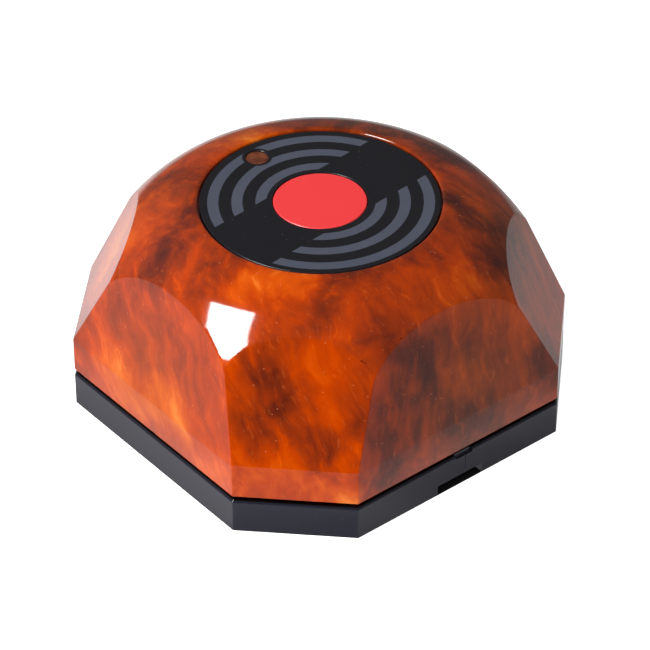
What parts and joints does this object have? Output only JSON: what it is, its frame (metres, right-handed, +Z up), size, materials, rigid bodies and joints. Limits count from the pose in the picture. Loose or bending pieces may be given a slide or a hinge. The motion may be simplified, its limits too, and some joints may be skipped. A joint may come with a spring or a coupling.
{
  "type": "waiter call button",
  "caption": "Faceted octagonal domed call button in marbled amber plastic on a low black base, with a flat black face disc and a round push button.",
  "frame": {"origin": "under the middle of the base, on the table", "axes": "+Z up out of the face disc, -Y towards the user through the front short face, +X to the user's right"},
  "size_m": [0.0678, 0.0678, 0.0317],
  "materials": {
    "shell_amber": "high gloss, marbled amber and dark brown",
    "base_black": "satin moulded",
    "disc_black": "smooth, low gloss",
    "print_grey": "screen print",
    "button_red": "smooth, low gloss",
    "window_amber": "clear tinted, polished",
    "led_clear": "clear epoxy",
    "tinned": "tinned",
    "sheet_steel": "pressed sheet",
    "can_steel": "drawn, nickel plated",
    "board_green": "solder mask over glass fibre",
    "moulded_black": "fine moulded grain",
    "plunger_grey": "fine moulded grain",
    "chip_parts": "matt, with plated ends",
    "copper_wire": "enamelled wire",
    "sleeve_dark": "shrunk film",
    "screw_steel": "zinc plated",
    "foam_grey": "foam with a smooth liner"
  },
  "bodies": {
    "base": {"base_plate": "base_black", "adhesive_pad": "foam_grey"},
    "housing": {"top_shell": "shell_amber", "face_disc": "disc_black", "printed_arcs": "print_grey", "led_window": "window_amber", "led": "led_clear", "led_leads": "tinned", "circuit_board": "board_green", "switch_housing": "moulded_black", "switch_cover": "sheet_steel", "switch_pins": "tinned", "switch_dome": "sheet_steel", "encoder_chip": "moulded_black", "chip_legs": "tinned", "saw_can": "can_steel", "smd_parts": "chip_parts", "coil_antenna": "copper_wire", "battery_cell": "can_steel", "battery_sleeve": "sleeve_dark", "battery_holder": "moulded_black", "contact_plates": "tinned", "battery_spring": "tinned", "board_screws": "screw_steel"},
    "button": {"call_button": "button_red"},
    "plunger": {"switch_plunger": "plunger_grey"}
  },
  "joints": [
    {"name": "housing_lift", "type": "slide", "parent": "base", "child": "housing", "axis": [0, 0, 1], "range_m": [0, 0.02]},
    {"name": "button_press", "type": "slide", "parent": "housing", "child": "button", "axis": [0, 0, -1], "range_m": [0, 0.0005], "stiffness_N_per_m": 1500, "springref_m": -0.001},
    {"name": "plunger_press", "type": "slide", "parent": "housing", "child": "plunger", "axis": [0, 0, -1], "range_m": [0, 0.0005], "deforming": ["switch_dome"]}
  ],
  "couplings": [
    {"joint": "plunger_press", "follows": "button_press", "ratio": 1}
  ]
}
